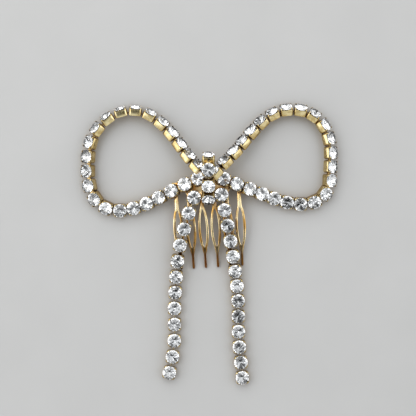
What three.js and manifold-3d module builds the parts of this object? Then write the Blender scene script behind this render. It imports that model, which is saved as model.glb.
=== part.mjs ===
// Bow-shaped rhinestone hair comb, lying on its back as on a table.
// Millimetres. X to the right, Y towards the top of the bow, Z up. The origin is under the middle of the whole piece.
// A gold comb carries two soldered loops of cup chain, a short strip of cup chain wrapped over the knot, and two
// tails of loose cup chain. Every cup holds one round stone; the tails' cups hinge on the small links between them.
import * as THREE from 'three';
import Module from 'manifold-3d';
import { mergeVertices } from 'three/addons/utils/BufferGeometryUtils.js';

const wasm = await Module();
wasm.setup();

// ---- driving dimensions ----
const cupSide = 5.6;            // square cup, seen from above
const cupCorner = 1.0;          // outer corner radius
const cupDepth = 2.9;
const cupWall = 0.3;
const cupFloor = 0.4;
const clawRise = 0.9;           // how far each corner claw stands above the rim
const clawInset = 1.75;         // a claw starts this far to each side of the cup's middle

const stoneRadius = 2.95;
const seatRadius = 2.3;         // where the stone's cone passes the cup's rim
const girdleBottom = 3.3;       // heights in a cup, above its underside
const girdleTop = 3.45;
const crownTop = 4.25;
const culet = 0.75;
const tableRadius = 1.6;
const stoneSides = 10;

const linkHeight = 0.9;         // the links' middle, above a cup's underside
const linkWidth = 0.5;
const linkThickness = 0.44;
const headRadius = 0.25;        // round cross head at a link's end
const headLength = 2.0;
const headInset = 0.85;         // from a cup's end face in to the head's axis
const slotWidth = 1.2;
const slotTop = 1.7;
const solderBarWidth = 1.8;     // link between two soldered cups

const leftTailPitch = 7.15;
const rightTailPitch = 6.8;
const leftTailCups = 12;
const rightTailCups = 13;
const leftLoopCups = 23;
const rightLoopCups = 24;

const knotPitch = 6.5;
const knotX = -0.3;
const knotTopY = 31.8;          // middle of the knot's highest cup
const knotTopZ = 12.4;          // underside of that cup
const knotTilts = [-68, 0, 28, 47];   // degrees that each knot cup leans towards the tails

const combX = -0.8;
const combY = 22.9;             // where the teeth leave the bar
const combTurn = 3.6;           // degrees that the comb sits turned, anticlockwise
const barLength = 31;
const barHeight = 4.6;
const combThickness = 1.1;
const barUnderside = 2.6;
const toothCount = 6;
const toothPitch = 5.55;         // where the teeth leave the bar
const teethGather = 0.03;        // share of the pitch that is lost by the tips
const toothLength = 34;
const stemWidth = 1.8;
const wireWidth = 1.1;
const eyeStart = 7.9;           // from the bar down to the open eye in each tooth
const eyeLength = 16.9;
const eyeWidth = 2.4;
const eyeFullness = 0.65;       // 1 makes the eye a plain lens, less makes its sides straighter
const tipWidth = 1.0;
const tipLength = 6;
const neckLength = 2.4;         // tapers from the eye's end to the tip
const toothRise = 2.0;          // how far the bowed teeth rise above a straight line
const toothDrop = 2.5;          // how far the tips sit below the bar

// Middle lines of the loops and tails, through the links. A loop's fourth number is how far, in degrees, its stones
// lean outwards from straight up.
const leftLoopLine = [
  [-3.7, 30.6, 9.0, 58], [-10.3, 38.4, 6.2, 54], [-18.1, 48.9, 3.7, 54], [-27.1, 56.2, 3.3, 68], [-36.8, 57.4, 3.5, 77],
  [-45.5, 53.4, 3.4, 64], [-51.5, 45.4, 2.8, 44], [-53.0, 35.2, 2.4, 32], [-52.1, 23.5, 2.2, 28],
  [-46.4, 15.8, 2.0, 20], [-36.7, 14.5, 1.5, 6], [-26.0, 17.7, 2.7, -4], [-14.2, 23.7, 5.7, -12], [-1.8, 29.4, 6.4, -4],
];
const rightLoopLine = [
  [1.2, 28.3, 8.4, 50], [5.4, 33.0, 8.4, 55], [12.1, 39.7, 6.2, 54], [19.7, 48.9, 3.7, 50], [28.7, 56.6, 3.1, 58],
  [40.1, 58.0, 3.2, 58], [48.6, 53.4, 3.1, 51], [52.7, 44.3, 2.9, 45], [52.8, 32.3, 2.7, 40], [51.6, 22.3, 2.3, 26],
  [43.4, 17.3, 1.9, 14], [33.1, 18.3, 1.5, 6], [23.2, 21.5, 2.4, -3], [13.2, 25.1, 5.4, -9], [3.3, 29.1, 6.4, -8],
];
const leftTailLine = [
  [-4.6, 24.6, 5.6], [-7.5, 17.7, 5.9], [-11.1, 5.7, 5.7], [-13.3, -3.4, 4.6], [-14.3, -11.3, 2.9], [-14.8, -19.5, 1.5],
  [-15.3, -28.6, 1.1], [-15.2, -40.6, 1.1], [-16.1, -50.5, 1.1], [-18.2, -60.4, 1.1],
];
const rightTailLine = [
  [4.9, 25.9, 5.4], [5.4, 20.7, 5.9], [8.1, 7.8, 5.8], [9.9, -2.5, 4.6], [11.1, -9.8, 2.9], [12.2, -18.2, 1.5],
  [12.9, -28.5, 1.1], [12.9, -41.8, 1.1], [13.9, -51.1, 1.1], [14.9, -62.3, 1.1],
];

const gold = new THREE.MeshStandardMaterial({ color: '#d9b45a', roughness: 0.25, metalness: 1 });
const combGold = new THREE.MeshStandardMaterial({ color: '#e3bd68', roughness: 0.2, metalness: 1 });
const crystal = new THREE.MeshStandardMaterial({ color: '#eef1f4', roughness: 0.05, metalness: 0 });

// ---- solids ----
function solidOf(geometry) {
  const bare = geometry.index ? geometry.clone() : geometry;
  bare.deleteAttribute('normal');
  bare.deleteAttribute('uv');
  const merged = mergeVertices(bare, 1e-4);
  return new wasm.Manifold(new wasm.Mesh({
    numProp: 3,
    vertProperties: new Float32Array(merged.attributes.position.array),
    triVerts: new Uint32Array(merged.index.array),
  }));
}

function geometryOf(solid) {
  const { vertProperties, triVerts } = solid.getMesh();
  const geometry = new THREE.BufferGeometry();
  geometry.setAttribute('position', new THREE.BufferAttribute(vertProperties, 3));
  geometry.setIndex(new THREE.BufferAttribute(triVerts, 1));
  geometry.computeVertexNormals();
  return geometry;
}

function box(width, length, height, x, y, z) {
  return new THREE.BoxGeometry(width, length, height).translate(x, y, z);
}

function roundedSquare(side, radius, steps) {
  const shape = new THREE.Shape();
  const reach = side / 2 - radius;
  for (let corner = 0; corner < 4; corner++) {
    const facing = (corner * Math.PI) / 2;
    const centre = new THREE.Vector2(reach, reach).rotateAround(new THREE.Vector2(), facing);
    for (let step = 0; step <= steps; step++) {
      const angle = facing + (step / steps) * (Math.PI / 2);
      const point = new THREE.Vector2(Math.cos(angle), Math.sin(angle)).multiplyScalar(radius).add(centre);
      if (corner === 0 && step === 0) shape.moveTo(point.x, point.y);
      else shape.lineTo(point.x, point.y);
    }
  }
  return shape;
}

function prism(shape, bottom, top) {
  return new THREE.ExtrudeGeometry(shape, { depth: top - bottom, bevelEnabled: false }).translate(0, 0, bottom);
}

// ---- one cup, its underside on z = 0 and the way to the knot along +y ----
function openCup(cornerSteps, rim) {
  const shell = solidOf(prism(roundedSquare(cupSide, cupCorner, cornerSteps), 0, rim));
  const room = roundedSquare(cupSide - 2 * cupWall, cupCorner - cupWall, 1);
  return shell.subtract(solidOf(prism(room, cupFloor, rim + 1)));
}

// The walls above the rim are cut away between the corners, which leaves a claw standing on each corner.
function clawedCup() {
  const between = 2 * clawInset;
  const top = cupDepth + clawRise;
  const middle = (cupDepth + top + 1) / 2;
  const height = top + 1 - cupDepth;
  return openCup(2, top)
    .subtract(solidOf(box(between, cupSide + 1, height, 0, 0, middle)))
    .subtract(solidOf(box(cupSide + 1, between, height, 0, 0, middle)));
}

// The slot through the end wall and the floor's edge lets a link swing. side is -1 for the free end, 1 for the knot end.
function linkSlot(side) {
  const inner = cupSide / 2 - headInset - headRadius - 0.2;
  const outer = cupSide / 2 + 0.1;
  const height = slotTop + 0.1;
  return solidOf(box(slotWidth, outer - inner, height, 0, (side * (inner + outer)) / 2, slotTop - height / 2));
}

function crossHead(y) {
  const head = new THREE.CylinderGeometry(headRadius, headRadius, headLength, 6);
  return solidOf(head.rotateZ(Math.PI / 2).translate(0, y, linkHeight));
}

function neck(fromY, toY) {
  return solidOf(box(linkWidth, toY - fromY, linkThickness, 0, (fromY + toY) / 2, linkHeight));
}

const plainCup = openCup(1, cupDepth);
const cupWithClaws = clawedCup();
const headY = cupSide / 2 - headInset;

function tailCup(pitch) {
  const reach = pitch - headY;
  return geometryOf(cupWithClaws.subtract(linkSlot(-1)).add(neck(cupSide / 2 - 0.2, reach)).add(crossHead(reach)));
}

function anchorCup() {
  return geometryOf(cupWithClaws.subtract(linkSlot(-1)));
}

function doubleSlotCup() {
  return geometryOf(cupWithClaws.subtract(linkSlot(-1)).subtract(linkSlot(1)));
}

// A link with a head at both ends, drawn in the frame of the cup below it.
function looseLink(pitch) {
  const upper = pitch - headY;
  return geometryOf(neck(headY, upper).add(crossHead(headY)).add(crossHead(upper)));
}

function stone() {
  const cone = [[0, culet], [seatRadius, cupDepth], [stoneRadius, girdleBottom]];
  const profile = [...cone, [stoneRadius, girdleTop], [tableRadius, crownTop], [0, crownTop]];
  const turned = new THREE.LatheGeometry(profile.map(([r, h]) => new THREE.Vector2(r, h)), stoneSides);
  return geometryOf(solidOf(turned.rotateX(Math.PI / 2)));
}

// ---- places along a line ----
function lineThrough(points) {
  return new THREE.CatmullRomCurve3(points.map(([x, y, z]) => new THREE.Vector3(x, y, z)), false, 'catmullrom', 0.5);
}

// Frame of a cup on the stretch from one link to the next: y back along the stretch, z the way that the stone faces.
function cupFrame(from, to, facing) {
  const back = from.clone().sub(to).normalize();
  const side = back.clone().cross(facing).normalize();
  return new THREE.Matrix4().makeBasis(side, back, side.clone().cross(back));
}

// Even steps of one pitch along a line, from its first point.
function stepsAlong(points, pitch, count) {
  const line = lineThrough(points);
  const dense = line.getSpacedPoints(2000);
  const steps = [dense[0]];
  let next = 1;
  while (steps.length <= count) {
    const last = steps[steps.length - 1];
    while (next < dense.length - 1 && dense[next].distanceTo(last) < pitch) next++;
    steps.push(dense[next].clone().sub(last).setLength(pitch).add(last));
  }
  return steps;
}

// ---- soldered chain: cups joined end to end into one solid ----
function cupEnd(frame, side) {
  return new THREE.Vector3(0, side * (cupSide / 2 - cupWall / 2), 0).applyMatrix4(frame);
}

function solderedChain(cup, frames) {
  const lowered = geometryOf(cup).translate(0, 0, -linkHeight);
  let chain = null;
  frames.forEach((frame, i) => {
    const placed = solidOf(lowered.clone().applyMatrix4(frame));
    chain = chain ? chain.add(placed) : placed;
    if (i === 0) return;
    const upper = cupEnd(frames[i - 1], -1);
    const lower = cupEnd(frame, 1);
    const facing = new THREE.Vector3().setFromMatrixColumn(frame, 2);
    const between = cupFrame(upper, lower, facing).setPosition(upper.clone().add(lower).multiplyScalar(0.5));
    const bar = box(solderBarWidth, upper.distanceTo(lower), linkThickness, 0, 0, 0).applyMatrix4(between);
    chain = chain.add(solidOf(bar));
  });
  return geometryOf(chain);
}

function midpoint(from, to) {
  return from.clone().add(to).multiplyScalar(0.5);
}

// Frames of a loop's cups. outwards is 1 where the line runs anticlockwise, and -1 where it runs clockwise.
function loopFrames(points, count, outwards) {
  const line = lineThrough(points);
  const lean = lineThrough(points.map((point) => [point[3], 0, 0]));
  const up = new THREE.Vector3(0, 0, 1);
  const frames = [];
  for (let i = 0; i < count; i++) {
    const from = line.getPointAt(i / count);
    const to = line.getPointAt((i + 1) / count);
    const along = to.clone().sub(from).normalize();
    const out = along.clone().cross(up).multiplyScalar(outwards).normalize();
    const flatUp = out.clone().cross(along).multiplyScalar(outwards);
    const angle = THREE.MathUtils.degToRad(lean.getPoint(line.getUtoTmapping((i + 0.5) / count)).x);
    const facing = flatUp.multiplyScalar(Math.cos(angle)).addScaledVector(out, Math.sin(angle));
    frames.push(cupFrame(from, to, facing).setPosition(midpoint(from, to)));
  }
  return frames;
}

// Frames of the four knot cups, which bend over the crossing.
function knotFrames() {
  const turn = (tilt) => {
    const angle = THREE.MathUtils.degToRad(tilt);
    return new THREE.Vector3(0, -Math.cos(angle), -Math.sin(angle));
  };
  const ends = [new THREE.Vector3(knotX, knotTopY + knotPitch / 2, knotTopZ + linkHeight)];
  ends.unshift(ends[0].clone().addScaledVector(turn(knotTilts[0]), -knotPitch));
  for (const tilt of knotTilts.slice(1)) {
    ends.push(ends[ends.length - 1].clone().addScaledVector(turn(tilt), knotPitch));
  }
  return knotTilts.map((tilt, i) => {
    const facing = turn(tilt).cross(new THREE.Vector3(1, 0, 0));
    return cupFrame(ends[i], ends[i + 1], facing).setPosition(midpoint(ends[i], ends[i + 1]));
  });
}

// ---- comb: one stamped sheet, its teeth bowed ----
function eyeHalfWidth(down) {
  const inEye = THREE.MathUtils.clamp((down - eyeStart) / eyeLength, 0, 1);
  return (eyeWidth / 2) * Math.sin(Math.PI * inEye) ** eyeFullness;
}

// One side of a tooth as [half width, distance down]: root fillet, stem, the eye's wire, neck and tip.
function toothSide() {
  const side = [[stemWidth / 2 + 0.6, 0], [stemWidth / 2, 1], [stemWidth / 2, eyeStart - 2.5]];
  for (let step = 0; step <= 8; step++) {
    const down = eyeStart + (step / 8) * eyeLength;
    side.push([Math.max(stemWidth / 2, wireWidth + eyeHalfWidth(down)), down]);
  }
  const shoulder = toothLength - tipLength;
  side.push([wireWidth, shoulder - neckLength], [tipWidth / 2, shoulder]);
  side.push([tipWidth / 2, toothLength - 0.6], [tipWidth / 4, toothLength]);
  return side;
}

function combSheetHeight(down) {
  const part = Math.max(down, 0) / toothLength;
  return 4 * toothRise * part * (1 - part) - toothDrop * part;
}

function comb() {
  const outline = new THREE.Shape();
  outline.moveTo(-barLength / 2, 0);
  const side = toothSide();
  for (let tooth = 0; tooth < toothCount; tooth++) {
    const root = (tooth - (toothCount - 1) / 2) * toothPitch;
    const axis = (down) => root * (1 - (teethGather * down) / toothLength);
    side.forEach(([half, down]) => outline.lineTo(axis(down) - half, -down));
    [...side].reverse().forEach(([half, down]) => outline.lineTo(axis(down) + half, -down));
    const eye = new THREE.Path();
    eye.moveTo(axis(eyeStart), -eyeStart);
    for (let step = 1; step < 8; step++) {
      const down = eyeStart + (step / 8) * eyeLength;
      eye.lineTo(axis(down) - eyeHalfWidth(down), -down);
    }
    eye.lineTo(axis(eyeStart + eyeLength), -eyeStart - eyeLength);
    for (let step = 7; step > 0; step--) {
      const down = eyeStart + (step / 8) * eyeLength;
      eye.lineTo(axis(down) + eyeHalfWidth(down), -down);
    }
    outline.holes.push(eye);
  }
  outline.lineTo(barLength / 2, 0);
  outline.lineTo(barLength / 2, barHeight);
  outline.lineTo(-barLength / 2, barHeight);
  const sheet = new THREE.ExtrudeGeometry(outline, { depth: combThickness, bevelEnabled: false });
  const place = sheet.attributes.position;
  for (let i = 0; i < place.count; i++) {
    place.setZ(i, place.getZ(i) + combSheetHeight(-place.getY(i)));
  }
  return geometryOf(solidOf(sheet));
}

// ---- assembly ----
const group = new THREE.Group();

function addMesh(name, geometry, material, frame) {
  const mesh = new THREE.Mesh(geometry, material);
  mesh.name = name;
  if (frame) mesh.applyMatrix4(frame);
  group.add(mesh);
  return mesh;
}

function twoDigits(number) {
  return String(number).padStart(2, '0');
}

const combMesh = addMesh('comb', comb(), combGold);
combMesh.position.set(combX, combY, barUnderside);
combMesh.rotation.z = THREE.MathUtils.degToRad(combTurn);

addMesh('left_loop_chain', solderedChain(plainCup, loopFrames(leftLoopLine, leftLoopCups, 1)), gold);
addMesh('right_loop_chain', solderedChain(plainCup, loopFrames(rightLoopLine, rightLoopCups, -1)), gold);

const stoneGeometry = stone();
const wrapFrames = knotFrames();
addMesh('knot_chain', solderedChain(cupWithClaws, wrapFrames), gold);
wrapFrames.forEach((frame, i) => {
  const underside = frame.clone().multiply(new THREE.Matrix4().makeTranslation(0, 0, -linkHeight));
  addMesh(`knot_stone_${i + 1}`, stoneGeometry, crystal, underside);
});

function addTail(side, points, pitch, count) {
  const anchor = anchorCup();
  const second = doubleSlotCup();
  const hinged = tailCup(pitch);
  const steps = stepsAlong(points, pitch, count);
  const up = new THREE.Vector3(0, 0, 1);
  for (let i = 0; i < count; i++) {
    const frame = cupFrame(steps[i], steps[i + 1], up).setPosition(steps[i + 1]);
    frame.multiply(new THREE.Matrix4().makeTranslation(0, headY, -linkHeight));
    const number = twoDigits(i + 1);
    addMesh(`${side}_tail_cup_${number}`, [anchor, second][i] ?? hinged, gold, frame);
    addMesh(`${side}_tail_stone_${number}`, stoneGeometry, crystal, frame);
    if (i === 1) addMesh(`${side}_tail_link`, looseLink(pitch), gold, frame);
  }
}

addTail('left', leftTailLine, leftTailPitch, leftTailCups);
addTail('right', rightTailLine, rightTailPitch, rightTailCups);

export default group;
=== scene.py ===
import math
from bisect import bisect_right

import bmesh
import bpy
from mathutils import Matrix, Vector, noise


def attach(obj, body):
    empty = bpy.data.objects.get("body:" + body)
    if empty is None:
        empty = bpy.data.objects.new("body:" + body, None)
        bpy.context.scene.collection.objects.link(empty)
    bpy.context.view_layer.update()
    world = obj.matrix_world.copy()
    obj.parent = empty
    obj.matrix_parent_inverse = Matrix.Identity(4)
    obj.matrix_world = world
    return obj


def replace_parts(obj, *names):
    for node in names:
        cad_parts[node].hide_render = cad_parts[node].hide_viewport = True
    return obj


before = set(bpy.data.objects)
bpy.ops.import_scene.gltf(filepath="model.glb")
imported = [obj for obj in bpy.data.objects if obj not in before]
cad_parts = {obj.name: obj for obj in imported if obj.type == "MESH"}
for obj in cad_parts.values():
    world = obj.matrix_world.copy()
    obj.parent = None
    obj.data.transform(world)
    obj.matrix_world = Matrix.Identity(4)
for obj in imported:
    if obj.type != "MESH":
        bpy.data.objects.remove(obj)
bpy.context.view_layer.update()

MM = 0.001
ROOT = "clip"

# ---- sizes, as in the frame ----
CUP_SIDE = 5.6 * MM
CUP_CORNER = 1.0 * MM
CUP_WALL = 0.28 * MM
LINK_HEIGHT = 0.9 * MM
HEAD_INSET = 0.85 * MM
HEAD_Y = CUP_SIDE / 2 - HEAD_INSET
STONE_RADIUS = 2.95 * MM
GIRDLE_BOTTOM = 3.3 * MM
GIRDLE_TOP = 3.42 * MM
CROWN_TOP = 4.25 * MM
CULET = 0.75 * MM
TABLE_RADIUS = 1.6 * MM

TAILS = {
    "left": {"pitch": 7.15 * MM, "cups": 12},
    "right": {"pitch": 6.8 * MM, "cups": 13},
}
LOOPS = {
    "left": {"cups": 23, "outwards": 1},
    "right": {"cups": 24, "outwards": -1},
}
KNOT_PITCH = 6.5 * MM
KNOT_X = -0.3 * MM
KNOT_TOP = (31.8 * MM, 12.4 * MM)
KNOT_TILTS = (-68, 0, 28, 47)

COMB_X = -0.8 * MM
COMB_Y = 22.9 * MM
COMB_TURN = math.radians(3.6)
COMB_UNDERSIDE = 2.6 * MM
COMB_THICKNESS = 1.1 * MM
BAR_LENGTH = 31 * MM
BAR_HEIGHT = 4.6 * MM
TOOTH_COUNT = 6
TOOTH_PITCH = 5.55 * MM
TEETH_GATHER = 0.03
TOOTH_LENGTH = 34 * MM
STEM_WIDTH = 1.8 * MM
WIRE_WIDTH = 1.1 * MM
EYE_START = 7.9 * MM
EYE_LENGTH = 16.9 * MM
EYE_WIDTH = 2.4 * MM
EYE_FULLNESS = 0.65      # 1 makes the eye a plain lens, less makes its sides straighter
TIP_WIDTH = 1.0 * MM
TIP_LENGTH = 6 * MM
NECK_LENGTH = 2.4 * MM
TOOTH_RISE = 2.0 * MM
TOOTH_DROP = 2.5 * MM

# ---- the stone's back ----
LOW_SHARE = 0.45      # of the stone's radius, where the back's lower ring of facets ends
PAINTED_DARK_SHARE = 0.18     # of the back's facets, painted as dark reflections

# ---- gold ----
CUP_PALE = (0.76, 0.65, 0.37, 1)
CUP_DEEP = (0.54, 0.42, 0.19, 1)
# the comb's plate: its deep orange-brown patches are partly plate tone and partly painted reflection
COMB_PALE = (1.0, 0.84, 0.50, 1)
COMB_DEEP_AND_REFLECTED = (0.68, 0.40, 0.11, 1)
PAINTED_DARK_BROWN = (0.26, 0.14, 0.05, 1)      # painted shade in recesses, and painted dark reflection on the comb's tips
PAINTED_EDGE_REFLECTION = (0.50, 0.36, 0.20, 1)      # painted darker reflection where the gold is seen edge on

# ---- light ----
TENT_LOW = (1.0, 1.0, 0.97, 1)       # at the table's level
TENT_MIDDLE = (0.88, 0.89, 0.89, 1)
TENT_TOP = (0.80, 0.82, 0.84, 1)
OPENING_WAY = (0.0, -0.30, 0.95)
OPENING_EDGE = 0.94        # cosine of the angle off its middle where the tent begins to dim
OPENING_CORE = 0.985       # and where it is dimmest
OPENING_TONE = 0.12        # of the tent's own brightness

# Middle lines through the links, in millimetres, the same as the frame's.
# A loop's fourth number is how far, in degrees, its stones lean outwards.
LOOP_LINES = {
    "left": [
        (-3.7, 30.6, 9.0, 58), (-10.3, 38.4, 6.2, 54), (-18.1, 48.9, 3.7, 54), (-27.1, 56.2, 3.3, 68),
        (-36.8, 57.4, 3.5, 77), (-45.5, 53.4, 3.4, 64), (-51.5, 45.4, 2.8, 44), (-53.0, 35.2, 2.4, 32),
        (-52.1, 23.5, 2.2, 28), (-46.4, 15.8, 2.0, 20), (-36.7, 14.5, 1.5, 6), (-26.0, 17.7, 2.7, -4),
        (-14.2, 23.7, 5.7, -12), (-1.8, 29.4, 6.4, -4),
    ],
    "right": [
        (1.2, 28.3, 8.4, 50), (5.4, 33.0, 8.4, 55), (12.1, 39.7, 6.2, 54), (19.7, 48.9, 3.7, 50),
        (28.7, 56.6, 3.1, 58), (40.1, 58.0, 3.2, 58), (48.6, 53.4, 3.1, 51), (52.7, 44.3, 2.9, 45),
        (52.8, 32.3, 2.7, 40), (51.6, 22.3, 2.3, 26), (43.4, 17.3, 1.9, 14), (33.1, 18.3, 1.5, 6),
        (23.2, 21.5, 2.4, -3), (13.2, 25.1, 5.4, -9), (3.3, 29.1, 6.4, -8),
    ],
}
TAIL_LINES = {
    "left": [
        (-4.6, 24.6, 5.6), (-7.5, 17.7, 5.9), (-11.1, 5.7, 5.7), (-13.3, -3.4, 4.6),
        (-14.3, -11.3, 2.9), (-14.8, -19.5, 1.5), (-15.3, -28.6, 1.1), (-15.2, -40.6, 1.1),
        (-16.1, -50.5, 1.1), (-18.2, -60.4, 1.1),
    ],
    "right": [
        (4.9, 25.9, 5.4), (5.4, 20.7, 5.9), (8.1, 7.8, 5.8), (9.9, -2.5, 4.6),
        (11.1, -9.8, 2.9), (12.2, -18.2, 1.5), (12.9, -28.5, 1.1), (12.9, -41.8, 1.1),
        (13.9, -51.1, 1.1), (14.9, -62.3, 1.1),
    ],
}


# ---- lines and frames ----
class Line:
    """A smooth line through points, measured along its length as the frame's lines are."""

    DIVISIONS = 200

    def __init__(self, points):
        self.points = [Vector(p) for p in points]
        spots = [self.point(i / self.DIVISIONS) for i in range(self.DIVISIONS + 1)]
        self.lengths = [0.0]
        for a, b in zip(spots, spots[1:]):
            self.lengths.append(self.lengths[-1] + (b - a).length)

    def point(self, t):
        p = self.points
        last = len(p) - 1
        span = min(int(t * last), last - 1)
        w = t * last - span
        before = p[span - 1] if span > 0 else 2 * p[0] - p[1]
        after = p[span + 2] if span + 2 <= last else 2 * p[last] - p[last - 1]
        a, b = p[span], p[span + 1]
        start, end = (b - before) / 2, (after - a) / 2
        return a + start * w + (3 * (b - a) - 2 * start - end) * w**2 + (2 * (a - b) + start + end) * w**3

    def along(self, share):
        """The line's own parameter where share of its length is behind."""
        goal = share * self.lengths[-1]
        i = min(max(bisect_right(self.lengths, goal) - 1, 0), self.DIVISIONS - 1)
        step = self.lengths[i + 1] - self.lengths[i]
        return (i + (goal - self.lengths[i]) / step) / self.DIVISIONS

    def at(self, share):
        return self.point(self.along(share))


def cup_frame(start, end, facing, origin):
    """y back along the chain, z the way that the stone faces."""
    back = (start - end).normalized()
    side = back.cross(facing).normalized()
    turned = Matrix((side, back, side.cross(back))).transposed().to_4x4()
    return Matrix.Translation(origin) @ turned


def lowered(place):
    """From the height of the links down to the cup's underside."""
    return place @ Matrix.Translation((0, 0, -LINK_HEIGHT))


def loop_frames(side):
    count, outwards = LOOPS[side]["cups"], LOOPS[side]["outwards"]
    line = Line([Vector(p[:3]) * MM for p in LOOP_LINES[side]])
    lean = Line([(p[3], 0, 0) for p in LOOP_LINES[side]])
    frames = []
    for i in range(count):
        start, end = line.at(i / count), line.at((i + 1) / count)
        way = (end - start).normalized()
        out = (way.cross(Vector((0, 0, 1))) * outwards).normalized()
        flat_up = out.cross(way) * outwards
        angle = math.radians(lean.point(line.along((i + 0.5) / count)).x)
        facing = flat_up * math.cos(angle) + out * math.sin(angle)
        frames.append(lowered(cup_frame(start, end, facing, (start + end) / 2)))
    return frames


def knot_frames():
    def way(tilt):
        angle = math.radians(tilt)
        return Vector((0, -math.cos(angle), -math.sin(angle)))

    ends = [Vector((KNOT_X, KNOT_TOP[0] + KNOT_PITCH / 2, KNOT_TOP[1] + LINK_HEIGHT))]
    ends.insert(0, ends[0] - way(KNOT_TILTS[0]) * KNOT_PITCH)
    for tilt in KNOT_TILTS[1:]:
        ends.append(ends[-1] + way(tilt) * KNOT_PITCH)
    return [
        lowered(cup_frame(a, b, way(tilt).cross(Vector((1, 0, 0))), (a + b) / 2))
        for tilt, a, b in zip(KNOT_TILTS, ends, ends[1:])
    ]


def tail_frames(side):
    count, pitch = TAILS[side]["cups"], TAILS[side]["pitch"]
    line = Line([Vector(p) * MM for p in TAIL_LINES[side]])
    dense = [line.at(i / 2000) for i in range(2001)]
    steps, following = [dense[0]], 1
    while len(steps) <= count:
        while following < 2000 and (dense[following] - steps[-1]).length < pitch:
            following += 1
        steps.append(steps[-1] + (dense[following] - steps[-1]).normalized() * pitch)
    frames = []
    for start, end in zip(steps, steps[1:]):
        place = cup_frame(start, end, Vector((0, 0, 1)), end)
        frames.append(lowered(place @ Matrix.Translation((0, HEAD_Y, 0))))
    return frames


# ---- materials ----
class Nodes:
    """The node tree of a material or a world, with short calls for adding and joining nodes."""

    def __init__(self, owner, output):
        owner.use_nodes = True
        self.owner = owner
        self.tree = owner.node_tree
        self.tree.nodes.clear()
        self.output = self.add(output)

    def add(self, kind, **values):
        node = self.tree.nodes.new(kind)
        for key, value in values.items():
            if key in node.inputs:
                node.inputs[key].default_value = value
            else:
                setattr(node, key, value)
        return node

    def join(self, source, target):
        self.tree.links.new(source, target)

    def shader(self, **values):
        shader = self.add("ShaderNodeBsdfPrincipled")
        for key, value in values.items():
            shader.inputs[key.replace("_", " ")].default_value = value
        self.join(shader.outputs[0], self.output.inputs[0])
        return shader

    def ramp(self, source, stops):
        ramp = self.add("ShaderNodeValToRGB")
        ramp.color_ramp.elements[0].position, ramp.color_ramp.elements[0].color = stops[0]
        ramp.color_ramp.elements[1].position, ramp.color_ramp.elements[1].color = stops[-1]
        for place, colour in stops[1:-1]:
            ramp.color_ramp.elements.new(place).color = colour
        self.join(source, ramp.inputs[0])
        return ramp.outputs[0]

    def noise(self, scale, detail):
        where = self.add("ShaderNodeTexCoord")
        noise_node = self.add("ShaderNodeTexNoise", Scale=scale, Detail=detail, Roughness=0.5)
        self.join(where.outputs["Object"], noise_node.inputs["Vector"])
        return noise_node.outputs[0]

    def product(self, first, second):
        mixed = self.add("ShaderNodeMix", data_type="RGBA", blend_type="MULTIPLY")
        mixed.inputs["Factor"].default_value = 1.0
        self.join(first, mixed.inputs["A"])
        self.join(second, mixed.inputs["B"])
        return mixed.outputs["Result"]

    def openness(self, reach):
        """1 on an open surface, less where other surfaces within reach box it in."""
        return self.add("ShaderNodeAmbientOcclusion", samples=6, Distance=reach).outputs["AO"]

    def share_along(self, axis):
        """From 0 at the low end of the piece's own box to 1 at its high end."""
        parts = self.add("ShaderNodeSeparateXYZ")
        self.join(self.add("ShaderNodeTexCoord").outputs["Generated"], parts.inputs[0])
        return parts.outputs[axis]

    def bump(self, shader, source, strength, distance):
        bump = self.add("ShaderNodeBump", Strength=strength, Distance=distance)
        self.join(source, bump.inputs["Height"])
        self.join(bump.outputs[0], shader.inputs["Normal"])


def grey(value):
    return (value, value, value, 1)


def new_material(name):
    return Nodes(bpy.data.materials.new(name), "ShaderNodeOutputMaterial")


def gold_material(name, pale, deep, patches, painted_shade_reach, polish, painted_dark_tips=False):
    """Plated brass: colour and polish vary in patches, and painted shade browns it where it is boxed in.

    patches is the colour's noise scale per metre and polish the lowest and highest roughness.
    Its last argument paints dark reflection on the end of the piece that is furthest towards -Y, as on the
    comb's necks and tips.
    """
    nodes = new_material(name)
    shader = nodes.shader(Metallic=1.0)
    # random plate tone; on the comb its deep patches also stand for painted reflection
    plate = nodes.ramp(nodes.noise(patches, 2), [(0.40, deep), (0.60, pale)])
    # painted shade: the gold is browned where nearby surfaces box it in
    painted_shade = nodes.ramp(nodes.openness(painted_shade_reach), [(0.2, PAINTED_DARK_BROWN), (0.92, grey(1.0))])
    # painted reflection: darker amber where the surface is seen edge on
    turned_away = nodes.add("ShaderNodeLayerWeight", Blend=0.5)
    painted_edge_reflection = nodes.ramp(turned_away.outputs["Facing"], [(0.08, grey(1.0)), (0.75, PAINTED_EDGE_REFLECTION)])
    colour = nodes.product(nodes.product(plate, painted_shade), painted_edge_reflection)
    if painted_dark_tips:
        # painted dark reflection on the comb's necks and tips
        painted_tip_reflection = nodes.ramp(nodes.share_along("Y"), [(0.16, PAINTED_DARK_BROWN), (0.27, grey(1.0))])
        colour = nodes.product(colour, painted_tip_reflection)
    nodes.join(colour, shader.inputs["Base Color"])
    smooth, rough = polish
    roughness = nodes.ramp(nodes.noise(1500, 5), [(0.3, grey(smooth)), (0.75, grey(rough))])
    nodes.join(roughness, shader.inputs["Roughness"])
    nodes.bump(shader, nodes.noise(2600, 3), 0.12, 0.03 * MM)
    return nodes.owner


def crystal_material():
    nodes = new_material("crystal_glass")
    nodes.shader(Base_Color=(0.98, 0.99, 1.0, 1), Roughness=0.0, IOR=1.58, Transmission_Weight=1.0)
    return nodes.owner


def foil_material():
    """Silver foil on the stone's back. Each facet has its own painted glint, bright or dark, kept in the mesh
    as an attribute.
    """
    nodes = new_material("stone_foil")
    shader = nodes.shader(Metallic=1.0, Roughness=0.1)
    facet = nodes.add("ShaderNodeAttribute", attribute_name="painted_glint")
    painted_glint = nodes.ramp(facet.outputs["Fac"], [(0.0, grey(0.02)), (1.0, grey(1.0))])
    grain = nodes.ramp(nodes.noise(900, 2), [(0.3, grey(0.90)), (0.7, grey(1.0))])
    nodes.join(nodes.product(painted_glint, grain), shader.inputs["Base Color"])
    return nodes.owner


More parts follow.
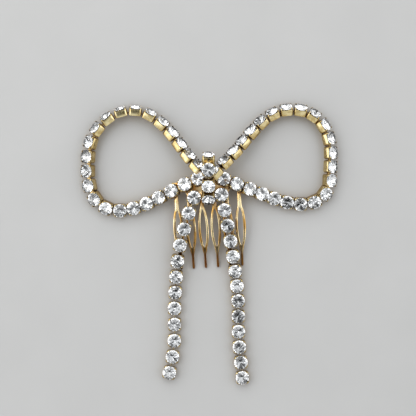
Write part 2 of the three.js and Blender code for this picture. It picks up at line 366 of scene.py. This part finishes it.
def floor_material():
    """A plain pale table, with painted warm light off the gold under the comb."""
    nodes = new_material("pale_table")
    shader = nodes.shader(Roughness=0.6)
    darker, lighter = (0.359, 0.359, 0.358, 1), (0.373, 0.373, 0.372, 1)
    tones = nodes.ramp(nodes.noise(35, 3), [(0.3, darker), (0.7, lighter)])
    # painted bounce light: warmer where the floor is boxed in by the gold
    painted_bounce = nodes.ramp(nodes.openness(14 * MM), [(0.35, (1.0, 0.90, 0.78, 1)), (0.68, grey(1.0))])
    nodes.join(nodes.product(tones, painted_bounce), shader.inputs["Base Color"])
    return nodes.owner


CUP_GOLD = gold_material("cup_gold", CUP_PALE, CUP_DEEP, 420, 1.8 * MM, (0.14, 0.30))
COMB_GOLD = gold_material("comb_gold", COMB_PALE, COMB_DEEP_AND_REFLECTED, 170, 5 * MM, (0.10, 0.20), painted_dark_tips=True)
CRYSTAL = crystal_material()
FOIL = foil_material()


# ---- mesh helpers ----
def new_piece(name, parts, body):
    """One piece from (mesh, place) pairs. Its place is in its mesh, as a CAD node's is."""
    bm = bmesh.new()
    for mesh, place in parts:
        placed = mesh.copy()
        placed.transform(place)
        bm.from_mesh(placed)
        bpy.data.meshes.remove(placed)
    whole = bpy.data.meshes.new(name)
    bm.to_mesh(whole)
    bm.free()
    for material in parts[0][0].materials:
        whole.materials.append(material)
    piece = bpy.data.objects.new(name, whole)
    bpy.context.scene.collection.objects.link(piece)
    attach(piece, body)
    return piece


def mesh_of(name, bm, *materials):
    bmesh.ops.recalc_face_normals(bm, faces=bm.faces)
    mesh = bpy.data.meshes.new(name)
    bm.to_mesh(mesh)
    bm.free()
    for material in materials:
        mesh.materials.append(material)
    return mesh


def applied(name, mesh, *steps):
    """mesh after modifiers, each given as (kind, {setting: value})."""
    scratch = bpy.data.objects.new("scratch", mesh)
    bpy.context.scene.collection.objects.link(scratch)
    for kind, settings in steps:
        modifier = scratch.modifiers.new(kind, kind)
        for key, value in settings.items():
            setattr(modifier, key, value)
    bpy.context.view_layer.update()
    evaluated = scratch.evaluated_get(bpy.context.evaluated_depsgraph_get())
    done = bpy.data.meshes.new_from_object(evaluated)
    done.name = name
    bpy.data.objects.remove(scratch)
    return done


def add_box(bm, low, high):
    """A box between two opposite corners. Returns its corners."""
    made = bmesh.ops.create_cube(bm, size=1)["verts"]
    middle, size = (Vector(low) + Vector(high)) / 2, Vector(high) - Vector(low)
    bmesh.ops.transform(bm, matrix=Matrix.Translation(middle) @ Matrix.Diagonal((*size, 1)), verts=made)
    return made


def ring_of_square(inset, height, steps=6):
    """Points round the cup's rounded square, drawn in by inset."""
    radius = CUP_CORNER - inset
    reach = CUP_SIDE / 2 - CUP_CORNER
    points = []
    for corner in range(4):
        turn = corner * math.pi / 2
        middle = Matrix.Rotation(turn, 2) @ Vector((reach, reach))
        for step in range(steps + 1):
            angle = turn + step / steps * math.pi / 2
            points.append((middle.x + radius * math.cos(angle), middle.y + radius * math.sin(angle), height))
    return points


def skin(bm, rings):
    """A closed skin over rings of points, each end covered by one face."""
    made = [[bm.verts.new(p) for p in ring] for ring in rings]
    count = len(made[0])
    for a, b in zip(made, made[1:]):
        for i in range(count):
            bm.faces.new((a[i], a[(i + 1) % count], b[(i + 1) % count], b[i]))
    bm.faces.new(made[0][::-1])
    bm.faces.new(made[-1])


# ---- the cup ----
def cup_shell():
    """A thin open box. Each pair is how far in from the cup's side, and how high, a ring of its skin lies."""
    outside = [
        (0.5, 0.0), (0.22, 0.03), (0.06, 0.12), (0.0, 0.3), (0.0, 1.5), (0.0, 2.74), (0.03, 2.85), (0.1, 2.9),
    ]
    inside = [(0.2, 2.88), (0.26, 2.8), (0.28, 2.6), (0.28, 0.6), (0.36, 0.42), (0.5, 0.36)]
    bm = bmesh.new()
    skin(bm, [ring_of_square(inset * MM, height * MM) for inset, height in outside + inside])
    return mesh_of("cup_shell", bm)


def t_slot_cutter():
    """The T-shaped slot in each end wall: a slit under the rim, and a stem down through the base's edge."""
    slit_half, slit_low, slit_high = 1.9 * MM, 2.05 * MM, 2.5 * MM
    stem_half, below = 0.42 * MM, -0.2 * MM
    near, far = CUP_SIDE / 2 - 0.75 * MM, CUP_SIDE / 2 + 0.5 * MM
    half_outline = [(stem_half, below), (stem_half, slit_low), (slit_half, slit_low), (slit_half, slit_high)]
    outline = half_outline + [(-x, z) for x, z in reversed(half_outline)]
    bm = bmesh.new()
    for side in (-1, 1):
        skin(bm, [[(x, side * y, z) for x, z in outline] for y in (near, far)])
    return mesh_of("t_slots", bm)


def add_claw(bm, turn):
    """A tapering prong from the rim's corner, bent in over the girdle.

    Each step of the path is its reach from the cup's middle, its height, its width and its thickness.
    """
    path = [
        (3.42, 2.6, 0.7, 0.2), (3.42, 3.15, 0.62, 0.2), (3.27, 3.52, 0.5, 0.18), (3.0, 3.68, 0.38, 0.15),
        (2.8, 3.76, 0.24, 0.1),
    ]
    rings = []
    for i, (reach, height, width, thick) in enumerate(path):
        before, after = path[max(i - 1, 0)], path[min(i + 1, len(path) - 1)]
        way = Vector((after[0] - before[0], 0, after[1] - before[1])).normalized()
        across = Vector((way.z, 0, -way.x)) * thick / 2
        spot = Vector((reach, 0, height))
        side = Vector((0, width / 2, 0))
        ring = [spot + across - side, spot + across + side, spot - across + side, spot - across - side]
        rings.append([Matrix.Rotation(turn, 3, "Z") @ (p * MM) for p in ring])
    skin(bm, rings)


def cup_mesh():
    cutter = bpy.data.objects.new("cutter", t_slot_cutter())
    bpy.context.scene.collection.objects.link(cutter)
    cut = {"operation": "DIFFERENCE", "object": cutter, "solver": "EXACT"}
    shell = applied("cup_cut", cup_shell(), ("BOOLEAN", cut))
    bpy.data.objects.remove(cutter)
    bm = bmesh.new()
    for corner in range(4):
        add_claw(bm, math.pi / 4 + corner * math.pi / 2)
    bevel = {"width": 0.07 * MM, "segments": 2, "limit_method": "ANGLE"}
    claws = applied("claws", mesh_of("claws", bm), ("BEVEL", bevel))
    bm = bmesh.new()
    bm.from_mesh(shell)
    bm.from_mesh(claws)
    bmesh.ops.dissolve_degenerate(bm, edges=bm.edges, dist=0.001 * MM)
    for face in bm.faces:
        face.smooth = True
    mesh = mesh_of("cup", bm, CUP_GOLD)
    mesh.set_sharp_from_angle(angle=math.radians(38))
    return mesh


# ---- the stone: a round brilliant with a foiled back ----
def polar(radius, angle, height):
    return (radius * math.cos(angle), radius * math.sin(angle), height)


def stone_mesh():
    """A chaton: a table in a ring of crown facets, over a foiled back in two rings of facets."""
    eighth = math.pi / 4
    low_radius = LOW_SHARE * STONE_RADIUS
    fall = low_radius * math.cos(eighth / 2) / STONE_RADIUS
    low_height = CULET + (GIRDLE_BOTTOM - CULET) * fall
    bm = bmesh.new()
    painted_glint = bm.faces.layers.float.new("painted_glint")
    table = [bm.verts.new(polar(TABLE_RADIUS, k * eighth, CROWN_TOP)) for k in range(8)]
    upper = [bm.verts.new(polar(STONE_RADIUS, k * eighth / 2, GIRDLE_TOP)) for k in range(16)]
    lower = [bm.verts.new(polar(STONE_RADIUS, k * eighth / 2, GIRDLE_BOTTOM)) for k in range(16)]
    low = [bm.verts.new(polar(low_radius, (k + 0.5) * eighth, low_height)) for k in range(8)]
    tip = bm.verts.new((0, 0, CULET))
    bm.faces.new(table)
    back = []
    for k in range(8):
        n = (k + 1) % 8
        bm.faces.new((table[k], upper[2 * k + 1], table[n]))
        bm.faces.new((table[k], upper[2 * k], upper[2 * k + 1]))
        bm.faces.new((table[n], upper[2 * k + 1], upper[2 * n]))
        back.append(bm.faces.new((tip, low[k], lower[2 * k], low[k - 1])))
        back.append(bm.faces.new((low[k], lower[2 * k + 1], lower[2 * k])))
        back.append(bm.faces.new((low[k], lower[2 * n], lower[2 * k + 1])))
    for k in range(16):
        bm.faces.new((upper[k], lower[k], lower[(k + 1) % 16], upper[(k + 1) % 16]))
    # painted glints: each back facet gets a bright or dark painted reflection
    for face in back:
        face.material_index = 1
        painted_dark = noise.random() < PAINTED_DARK_SHARE
        face[painted_glint] = 0.08 + 0.3 * noise.random() if painted_dark else 0.88 + 0.12 * noise.random()
    return mesh_of("stone", bm, CRYSTAL, FOIL)


# ---- links ----
def link_mesh(pitch, both):
    """A neck with a round cross head at its upper end, in the frame of the cup below it.

    A loose link has both heads. The others grow out of their own cup's wall, and end just inside it.
    """
    upper = pitch - HEAD_Y
    start = HEAD_Y if both else CUP_SIDE / 2 - 0.5 * MM
    bm = bmesh.new()
    half, thick = 0.18 * MM, 0.22 * MM
    add_box(bm, (-half, start, LINK_HEIGHT - thick), (half, upper, LINK_HEIGHT + thick))
    for y in [upper] + ([HEAD_Y] if both else [CUP_SIDE / 2 - 0.6 * MM]):
        head = bmesh.ops.create_cone(
            bm, cap_ends=True, segments=16, radius1=0.25 * MM, radius2=0.25 * MM, depth=2.0 * MM
        )["verts"]
        turn = Matrix.Translation((0, y, LINK_HEIGHT)) @ Matrix.Rotation(math.pi / 2, 4, "Y")
        bmesh.ops.transform(bm, matrix=turn, verts=head)
    bevel = {"width": 0.06 * MM, "segments": 2, "limit_method": "ANGLE"}
    return applied("link", mesh_of("link", bm, CUP_GOLD), ("BEVEL", bevel))


def solder_links(frames):
    """The short bars between soldered cups."""
    bm = bmesh.new()
    half, thick = 0.9 * MM, 0.22 * MM
    end = CUP_SIDE / 2 - CUP_WALL / 2
    for above, below in zip(frames, frames[1:]):
        start = above @ Vector((0, -end, LINK_HEIGHT))
        stop = below @ Vector((0, end, LINK_HEIGHT))
        facing = below.to_3x3() @ Vector((0, 0, 1))
        place = cup_frame(start, stop, facing, (start + stop) / 2)
        reach = (start - stop).length / 2
        bar = add_box(bm, (-half, -reach, -thick), (half, reach, thick))
        bmesh.ops.transform(bm, matrix=place, verts=bar)
    bevel = {"width": 0.05 * MM, "segments": 2, "limit_method": "ANGLE"}
    return applied("solder_links", mesh_of("solder_links", bm, CUP_GOLD), ("BEVEL", bevel))


# ---- comb ----
def smooth_step(low, high, value):
    share = min(max((value - low) / (high - low), 0), 1)
    return share * share * (3 - 2 * share)


def eye_half(down):
    share = min(max((down - EYE_START) / EYE_LENGTH, 0), 1)
    return EYE_WIDTH / 2 * max(math.sin(math.pi * share), 0) ** EYE_FULLNESS


def tooth_half(down):
    """Half the tooth's width: a fillet under the bar, the stem, the eye's wires, a neck and a slim tip."""
    root = 0.7 * MM * (1 - smooth_step(-0.2 * MM, 1.2 * MM, down))
    split = EYE_START - 1.5 * MM
    wires = WIRE_WIDTH + eye_half(down) if down > split else 0
    opening = smooth_step(split, EYE_START, down)
    upper = max(STEM_WIDTH / 2, wires * opening + STEM_WIDTH / 2 * (1 - opening))
    shoulder = TOOTH_LENGTH - TIP_LENGTH
    slimming = smooth_step(shoulder - NECK_LENGTH - 0.4 * MM, shoulder + 0.4 * MM, down)
    return (upper + (TIP_WIDTH / 2 - upper) * slimming + root) * round_end(down, 0.9 * MM)


def round_end(down, reach):
    """1 along the tooth, falling as a quarter circle over the last stretch."""
    left = max(TOOTH_LENGTH - down, 0) / reach
    return math.sqrt(1 - (1 - left) ** 2) if left < 1 else 1


def tooth_axis(x, down):
    return x * (1 - TEETH_GATHER * max(down, 0) / TOOTH_LENGTH)


def sheet_height(down):
    share = max(down, 0) / TOOTH_LENGTH
    return 4 * TOOTH_RISE * share * (1 - share) - TOOTH_DROP * share


def wire_section(inner, outer, thick):
    """Half a tooth cut across, with its outer edge and its edge at the eye rounded."""
    outer_round = min(0.34 * MM, thick / 2, (outer - inner) / 2)
    inner_round = min(0.26 * MM, max(inner, 0) * 1.5, thick / 2, (outer - inner) / 2)
    steps = 4
    ring = []
    corners = ((outer - outer_round, outer_round, 0), (inner + inner_round, inner_round, 2))
    for middle, radius, first in corners:
        for quarter in (first, first + 1):
            level = (thick / 2 - radius) * (1 if quarter in (0, 3) else -1)
            for step in range(steps + 1):
                angle = math.pi / 2 * (1 - quarter - step / steps)
                ring.append((middle + radius * math.cos(angle), level + radius * math.sin(angle)))
    return ring


def tooth_halves(x):
    """Two mirrored halves, which lap over the middle wherever the eye is shut."""
    rows, into_bar, lap = 80, 1.2 * MM, 0.02 * MM
    whole = TOOTH_LENGTH + into_bar
    downs = [whole * math.sin(row / rows * math.pi / 2) ** 1.1 - into_bar for row in range(rows)]
    downs.append(TOOTH_LENGTH - 0.004 * MM)
    halves = []
    for hand in (-1, 1):
        rings = []
        for down in downs:
            thick = COMB_THICKNESS * round_end(down, 1.3 * MM)
            level = COMB_THICKNESS / 2 + sheet_height(down)
            opening = eye_half(down)
            inner = opening if opening > lap else -lap
            section = wire_section(inner, tooth_half(down), thick)
            rings.append([(tooth_axis(x, down) + hand * out, -down, level + up) for out, up in section])
        bm = bmesh.new()
        skin(bm, rings)
        halves.append(mesh_of("half_tooth", bm))
    return halves


def united(mesh, other):
    """mesh with other joined into its skin."""
    helper = bpy.data.objects.new("helper", other)
    bpy.context.scene.collection.objects.link(helper)
    joining = {"operation": "UNION", "object": helper, "solver": "EXACT"}
    whole = applied("united", mesh, ("BOOLEAN", joining))
    bpy.data.objects.remove(helper)
    return whole


def comb_mesh():
    bm = bmesh.new()
    add_box(bm, (-BAR_LENGTH / 2, 0, 0), (BAR_LENGTH / 2, BAR_HEIGHT, COMB_THICKNESS))
    bevel = {"width": 0.4 * MM, "segments": 4, "limit_method": "ANGLE"}
    whole = applied("bar", mesh_of("bar", bm), ("BEVEL", bevel))
    for tooth in range(TOOTH_COUNT):
        for half in tooth_halves((tooth - (TOOTH_COUNT - 1) / 2) * TOOTH_PITCH):
            whole = united(whole, half)
    bm = bmesh.new()
    bm.from_mesh(whole)
    bmesh.ops.remove_doubles(bm, verts=bm.verts, dist=0.002 * MM)
    for face in bm.faces:
        face.smooth = True
    done = mesh_of("comb_fine", bm, COMB_GOLD)
    done.set_sharp_from_angle(angle=math.radians(50))
    return done


# ---- assembly ----
HERE = Matrix.Identity(4)


def set_stone(name, place, body, replaced=None):
    """A stone with its own painted facet glints, turned its own way in its cup."""
    turn = Matrix.Rotation(noise.random() * 2 * math.pi, 4, "Z")
    mesh = stone_mesh()
    piece = new_piece(name, [(mesh, place @ turn)], body)
    bpy.data.meshes.remove(mesh)
    if replaced:
        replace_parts(piece, replaced)


def soldered_chain(name, cup, frames, replaced):
    """Cups and the solder bars between them, as one piece."""
    parts = [(cup, place) for place in frames]
    parts.append((solder_links(frames), HERE))
    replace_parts(new_piece(name, parts, ROOT), replaced)


def build_loops(cup):
    for side in LOOPS:
        frames = loop_frames(side)
        soldered_chain(f"{side}_loop_chain_fine", cup, frames, f"{side}_loop_chain")
        for i, place in enumerate(frames):
            set_stone(f"{side}_loop_stone_{i + 1:02d}", place, ROOT)


def build_knot(cup):
    frames = knot_frames()
    soldered_chain("knot_chain_fine", cup, frames, "knot_chain")
    for i, place in enumerate(frames):
        set_stone(f"knot_stone_{i + 1}_fine", place, ROOT, f"knot_stone_{i + 1}")


def build_tails(cup):
    for side, tail in TAILS.items():
        link = link_mesh(tail["pitch"], both=False)
        for i, place in enumerate(tail_frames(side)):
            number = f"{i + 1:02d}"
            body = ROOT if i == 0 else f"{side}_cup_{number}"
            parts = [(cup, place), (link, place)] if i > 1 else [(cup, place)]
            piece = new_piece(f"{side}_tail_cup_{number}_fine", parts, body)
            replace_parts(piece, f"{side}_tail_cup_{number}")
            set_stone(f"{side}_tail_stone_{number}_fine", place, body, f"{side}_tail_stone_{number}")
            if i == 1:
                loose = link_mesh(tail["pitch"], both=True)
                piece = new_piece(f"{side}_tail_link_fine", [(loose, place)], f"{side}_link")
                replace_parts(piece, f"{side}_tail_link")


def build_comb():
    place = Matrix.Translation((COMB_X, COMB_Y, COMB_UNDERSIDE)) @ Matrix.Rotation(COMB_TURN, 4, "Z")
    piece = new_piece("comb_fine", [(comb_mesh(), place)], ROOT)
    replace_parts(piece, "comb")


def build_stage():
    bm = bmesh.new()
    half = 2.0
    corners = ((-half, -half, 0), (half, -half, 0), (half, half, 0), (-half, half, 0))
    bm.faces.new([bm.verts.new(p) for p in corners])
    floor = bpy.data.objects.new("floor", mesh_of("floor", bm, floor_material()))
    bpy.context.scene.collection.objects.link(floor)


def area_light(name, spot, target, size, power, colour):
    lamp = bpy.data.lights.new(name, "AREA")
    lamp.shape = "RECTANGLE"
    lamp.size, lamp.size_y = size
    lamp.energy = power
    lamp.color = colour
    light = bpy.data.objects.new(name, lamp)
    light.location = spot
    light.rotation_euler = (Vector(target) - Vector(spot)).to_track_quat("-Z", "Y").to_euler()
    bpy.context.scene.collection.objects.link(light)


def build_light():
    """A bright tent with one dim opening overhead, and three soft lamps round it."""
    world = bpy.data.worlds.new("studio")
    bpy.context.scene.world = world
    nodes = Nodes(world, "ShaderNodeOutputWorld")
    way = nodes.add("ShaderNodeTexCoord").outputs["Generated"]
    parts = nodes.add("ShaderNodeSeparateXYZ")
    nodes.join(way, parts.inputs[0])
    tent = nodes.ramp(parts.outputs["Z"], [(0.0, TENT_LOW), (0.5, TENT_MIDDLE), (1.0, TENT_TOP)])
    towards = nodes.add("ShaderNodeVectorMath", operation="DOT_PRODUCT")
    nodes.join(way, towards.inputs[0])
    towards.inputs[1].default_value = Vector(OPENING_WAY).normalized()
    dimming = [(OPENING_EDGE, grey(1.0)), (OPENING_CORE, grey(OPENING_TONE))]
    opening = nodes.ramp(towards.outputs["Value"], dimming)
    sky = nodes.add("ShaderNodeBackground", Strength=1.0)
    nodes.join(nodes.product(tent, opening), sky.inputs["Color"])
    nodes.join(sky.outputs[0], nodes.output.inputs["Surface"])
    area_light("key", (-0.3, 0.6, 0.75), (0, 0.02, 0), (1.4, 1.0), 8.0, (1.0, 0.99, 0.97))
    area_light("fill", (0.75, 0.1, 0.55), (0, 0.0, 0), (0.8, 1.0), 3.0, (0.97, 0.985, 1.0))
    area_light("left_strip", (-0.75, -0.1, 0.5), (0, 0.0, 0), (0.7, 1.0), 3.0, (1.0, 1.0, 1.0))


def build_film():
    """Tones as a plain camera gives them, so that the stones and the gold reach white."""
    bpy.context.scene.view_settings.view_transform = "Standard"


def build_camera():
    """Straight above the bow. The picture is 183 mm wide at the height of the stones."""
    height, across, focus = 0.5, 0.183, 0.004
    camera = bpy.data.cameras.new("camera")
    camera.lens = camera.sensor_width * (height - focus) / across
    seat = bpy.data.objects.new("camera", camera)
    seat.location = (-0.0005, 0.0154, height)
    bpy.context.scene.collection.objects.link(seat)
    bpy.context.scene.camera = seat


noise.seed_set(7)
build_camera()
build_stage()
build_light()
build_film()
CUP = cup_mesh()
build_comb()
build_loops(CUP)
build_knot(CUP)
build_tails(CUP)
